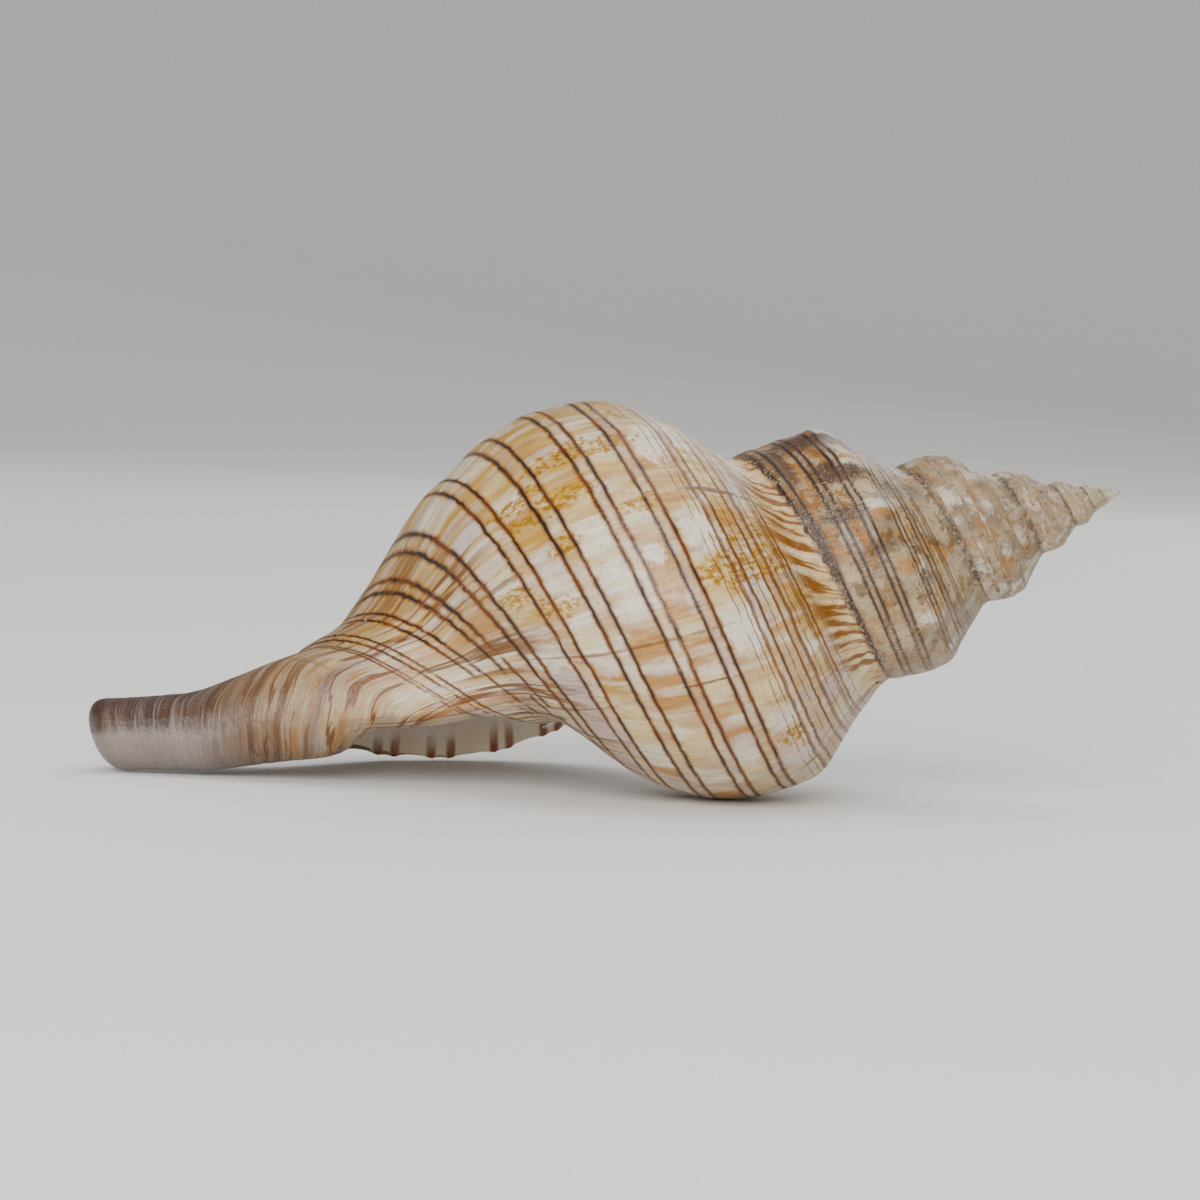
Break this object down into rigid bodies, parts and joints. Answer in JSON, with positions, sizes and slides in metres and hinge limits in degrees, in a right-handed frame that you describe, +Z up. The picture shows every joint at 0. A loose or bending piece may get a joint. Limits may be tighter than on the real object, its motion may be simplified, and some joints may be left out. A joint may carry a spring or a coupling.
{
  "type": "spindle-shaped sea snail shell",
  "caption": "Spindle-shaped sea snail shell with a knobbed pointed spire, a wide body whorl banded with brown lines and a long canal, lying lip down.",
  "frame": {"origin": "on the surface that the shell lies on, under the middle of its box", "axes": "+X towards the pointed apex, -X towards the open end of the canal, +Z up, away from the surface that the lip rests on"},
  "size_m": [0.1158, 0.0556, 0.0443],
  "materials": {
    "shell": "natural shell, cream and tan with dark brown spiral lines, a soft gloss on the body whorl and a worn, duller spire and canal"
  },
  "bodies": {
    "root": {"shell": "shell"}
  },
  "joints": []
}
